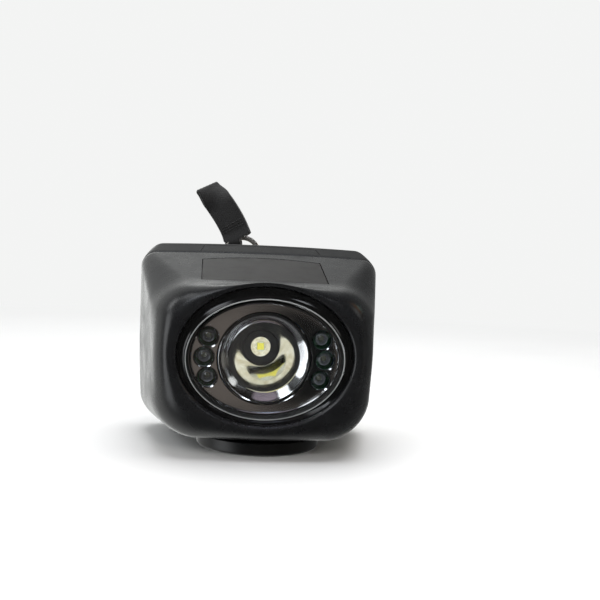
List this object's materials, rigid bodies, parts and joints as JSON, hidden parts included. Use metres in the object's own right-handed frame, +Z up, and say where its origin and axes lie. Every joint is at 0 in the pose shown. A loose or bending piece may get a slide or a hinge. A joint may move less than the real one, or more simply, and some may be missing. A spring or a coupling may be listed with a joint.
{
  "type": "miner's cap lamp",
  "caption": "Cordless miner's cap lamp: black housing, oval lens over a reflector and small LEDs, smoked display window, foot switch, helmet clip and safety strap.",
  "frame": {"origin": "centre of the lamp's box on the plane that its round foot stands on", "axes": "+Z up, -Y along the beam (the lens faces -Y), +X to the right of someone facing the lens"},
  "size_m": [0.08, 0.0684, 0.0874],
  "materials": {
    "housing_black": "fine-textured black polycarbonate with a low sheen",
    "seal_rubber": "soft silicone",
    "screw_steel": "zinc-plated",
    "bezel_gloss": "polished black",
    "lens_clear": "clear polycarbonate, polished",
    "reflector_chrome": "vacuum-metallised mirror",
    "led_white": "white ceramic and solder mask",
    "ring_black": "moulded black",
    "sink_aluminium": "machined",
    "led_clear": "clear epoxy, domed",
    "board_green": "solder mask",
    "window_smoked": "smoked, dark red-brown, polished",
    "module_black": "matte black",
    "cell_sleeve": "shrink sleeve",
    "holder_plastic": "moulded",
    "link_nickel": "nickel strip",
    "foot_black": "smooth black",
    "button_rubber": "fine matte rubber skin",
    "spring_steel": "bright wire",
    "contact_gold": "gold-plated",
    "clip_steel": "brushed stainless",
    "ring_nickel": "nickel-plated",
    "strap_webbing": "woven black webbing"
  },
  "bodies": {
    "lamp": {"front_housing": "housing_black", "rear_cover": "housing_black", "housing_seal": "seal_rubber", "lens_gasket": "seal_rubber", "button_seal": "seal_rubber", "cover_screws": "screw_steel", "heat_sink_screws": "screw_steel", "collar_screws": "screw_steel", "clip_screws": "screw_steel", "lens_bezel": "bezel_gloss", "lens": "lens_clear", "reflector_plate": "reflector_chrome", "reflector_cup": "reflector_chrome", "main_led": "led_white", "main_led_board": "led_white", "led_centring_ring": "ring_black", "heat_sink": "sink_aluminium", "aux_led_1": "led_clear", "aux_led_2": "led_clear", "aux_led_3": "led_clear", "aux_led_4": "led_clear", "aux_led_5": "led_clear", "aux_led_6": "led_clear", "aux_board_left": "board_green", "aux_board_right": "board_green", "control_board": "board_green", "protection_board": "board_green", "switch_board": "board_green", "display_window": "window_smoked", "display_module": "module_black", "tact_switch": "module_black", "battery_cell_lower": "cell_sleeve", "battery_cell_upper": "cell_sleeve", "battery_holder": "holder_plastic", "cell_link_left": "link_nickel", "cell_link_right": "link_nickel", "foot_collar": "foot_black", "charge_contact_left": "contact_gold", "charge_contact_right": "contact_gold", "helmet_clip": "clip_steel"},
    "button": {"switch_button": "button_rubber", "button_spring": "spring_steel"},
    "strap_ring": {"strap_ring": "ring_nickel", "strap": "strap_webbing"}
  },
  "joints": [
    {"name": "button_press", "type": "slide", "parent": "lamp", "child": "button", "axis": [0, 0, 1], "range_m": [0, 0.0012], "stiffness_N_per_m": 400, "springref_m": -0.002, "deforming": ["button_spring"]},
    {"name": "strap_ring_swing", "type": "hinge", "parent": "lamp", "child": "strap_ring", "pos_m": [-0.0056, 0.02675, 0.0551], "axis": [-1, 0, 0], "range_deg": [-15, 125]}
  ]
}
